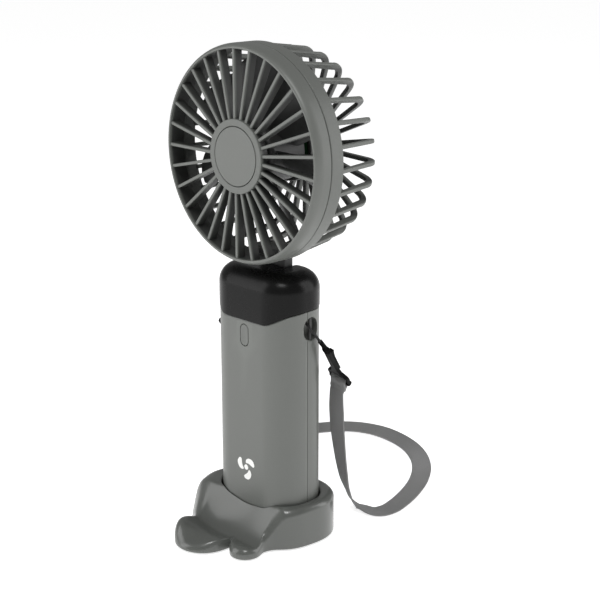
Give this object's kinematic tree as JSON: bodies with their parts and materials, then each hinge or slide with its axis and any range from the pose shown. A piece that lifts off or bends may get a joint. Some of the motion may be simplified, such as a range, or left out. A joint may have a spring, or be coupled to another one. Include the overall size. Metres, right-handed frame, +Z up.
{
  "type": "handheld fan",
  "caption": "Rechargeable handheld fan with a caged round head that folds back, a slim handle, a wrist strap and a phone-rest stand.",
  "frame": {"origin": "on the table under the middle of the handle, at the underside of the stand's grip pad", "axes": "+Z up along the handle, -Y the way the fan blows (the front), +X to the right as seen from the front"},
  "size_m": [0.1322, 0.1811, 0.2366],
  "materials": {
    "shell_grey": "satin moulded, warm mid grey",
    "stand_grey": "semi-gloss moulded, warm grey",
    "cap_black": "satin black, soft touch",
    "dark_plastic": "fine matte",
    "impeller_grey": "satin moulded, dark grey",
    "rubber": "matte silicone",
    "strap_fabric": "fine woven polyester ribbon",
    "cord_fabric": "thin braided cord, black",
    "clip_plastic": "moulded black acetal",
    "steel": "plain zinc-plated",
    "circuit_board": "green solder mask",
    "cell_wrap": "heat-shrink sleeve",
    "copper_winding": "enamelled copper wire on iron poles"
  },
  "bodies": {
    "stand": {"base_shell": "stand_grey", "base_plate": "dark_plastic", "grip_pad": "rubber", "base_screw_1": "steel", "base_screw_2": "steel", "base_screw_3": "steel", "base_screw_4": "steel"},
    "handle": {"handle_front_shell": "shell_grey", "handle_rear_shell": "shell_grey", "lanyard_eye_pin_left": "dark_plastic", "lanyard_eye_pin_right": "dark_plastic", "handle_screw_1": "steel", "handle_screw_2": "steel", "handle_screw_3": "steel", "handle_screw_4": "steel", "button_switch": "dark_plastic", "switch_board": "circuit_board", "battery_cell": "cell_wrap", "control_board": "circuit_board", "usb_socket": "steel", "neck_cap": "cap_black", "hinge_bracket": "steel", "hinge_pin": "steel", "friction_washer_left": "steel", "friction_washer_right": "steel", "cord_loop_right": "cord_fabric", "clip_body_right": "clip_plastic", "strap_end_right": "strap_fabric", "cord_loop_left": "cord_fabric", "clip_body_left": "clip_plastic", "strap_end_left": "strap_fabric", "strap_ribbon": "strap_fabric"},
    "power_button": {"power_button": "shell_grey"},
    "head": {"neck_arm": "dark_plastic", "neck_screw_1": "steel", "neck_screw_2": "steel", "front_grille": "shell_grey", "hub_badge": "shell_grey", "rear_grille": "shell_grey", "bearing_front": "steel", "bearing_rear": "steel", "motor_stator": "copper_winding", "motor_board": "circuit_board"},
    "rotor": {"motor_shaft": "steel", "rotor_can": "steel", "impeller": "impeller_grey"},
    "clip_lever_right": {"clip_lever_right": "clip_plastic"},
    "clip_lever_left": {"clip_lever_left": "clip_plastic"}
  },
  "joints": [
    {"name": "handle_lift", "type": "slide", "parent": "stand", "child": "handle", "axis": [0, 0, 1], "range_m": [0, 0.014]},
    {"name": "head_fold", "type": "hinge", "parent": "handle", "child": "head", "pos_m": [0, 0.0055, 0.126], "axis": [-1, 0, 0], "range_deg": [0, 90]},
    {"name": "impeller_spin", "type": "hinge", "parent": "head", "child": "rotor", "pos_m": [0, 0, 0.1866], "axis": [0, 1, 0], "continuous": true},
    {"name": "button_press", "type": "slide", "parent": "handle", "child": "power_button", "axis": [0, 1, 0], "range_m": [0, 0.0008], "stiffness_N_per_m": 1500},
    {"name": "clip_lever_right_open", "type": "hinge", "parent": "handle", "child": "clip_lever_right", "pos_m": [0.02476, 0.02136, 0.0837], "axis": [-0.9703, -0.0562, 0.2354], "range_deg": [0, 15], "stiffness_Nm_per_rad": 0.01},
    {"name": "clip_lever_left_open", "type": "hinge", "parent": "handle", "child": "clip_lever_left", "pos_m": [-0.02976, 0.00936, 0.0851], "axis": [0.991, -0.079, 0.1081], "range_deg": [0, 15], "stiffness_Nm_per_rad": 0.01}
  ]
}
